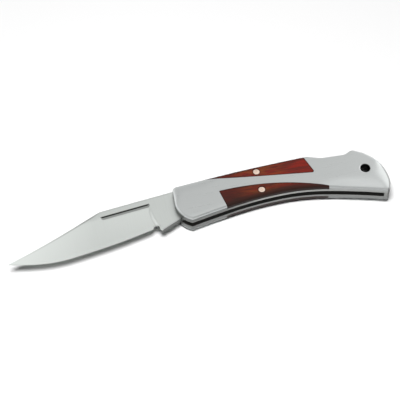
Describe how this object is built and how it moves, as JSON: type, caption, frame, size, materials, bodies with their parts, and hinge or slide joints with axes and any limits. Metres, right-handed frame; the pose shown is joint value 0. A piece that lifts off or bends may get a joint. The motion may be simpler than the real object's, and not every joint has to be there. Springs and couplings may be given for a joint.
{
  "type": "lockback folding knife",
  "caption": "Open lockback folding knife: clip-point blade with a long nail nick, stainless frame scales with curved wood inlays, rocking lock bar, thumb notch and lanyard hole.",
  "frame": {"origin": "middle of the lanyard hole, half way through the handle's thickness", "axes": "+X from the blade's pivot to the lanyard hole, +Y to the spine, +Z out of the left side, so the knife lies on its right side"},
  "size_m": [0.1818, 0.0294, 0.01],
  "materials": {
    "blade_steel": "satin ground steel",
    "frame_steel": "satin stainless, rolled edges",
    "liner_steel": "ground stainless sheet",
    "inlay_wood": "dense red-brown wood, oiled, straight grain",
    "pin_metal": "polished pale brass",
    "washer_bronze": "rolled phosphor bronze",
    "spring_steel": "tempered spring steel"
  },
  "bodies": {
    "handle": {"front_spacer_pin": "frame_steel", "left_belly_inlay": "inlay_wood", "left_belly_pin": "pin_metal", "left_frame": "frame_steel", "left_liner": "liner_steel", "left_pivot_washer": "washer_bronze", "left_spine_inlay": "inlay_wood", "lock_spring": "spring_steel", "pivot_pin": "frame_steel", "rear_spacer": "liner_steel", "rear_spacer_pin": "frame_steel", "right_belly_inlay": "inlay_wood", "right_belly_pin": "pin_metal", "right_frame": "frame_steel", "right_liner": "liner_steel", "right_pivot_washer": "washer_bronze", "right_spine_inlay": "inlay_wood", "rocker_pin": "pin_metal"},
    "blade": {"blade": "blade_steel"},
    "lock_bar": {"lock_bar": "blade_steel"}
  },
  "joints": [
    {"name": "blade_fold", "type": "hinge", "parent": "handle", "child": "blade", "pos_m": [-0.0846, 0, 0], "axis": [0, 0, 1], "range_deg": [0, 167]},
    {"name": "lock_bar_rock", "type": "hinge", "parent": "handle", "child": "lock_bar", "pos_m": [-0.0505, 0.0092, 0], "axis": [0, 0, 1], "range_deg": [-0.5, 2.15], "stiffness_Nm_per_rad": 0.2, "springref_deg": 3.44, "deforming": ["lock_spring"]}
  ]
}
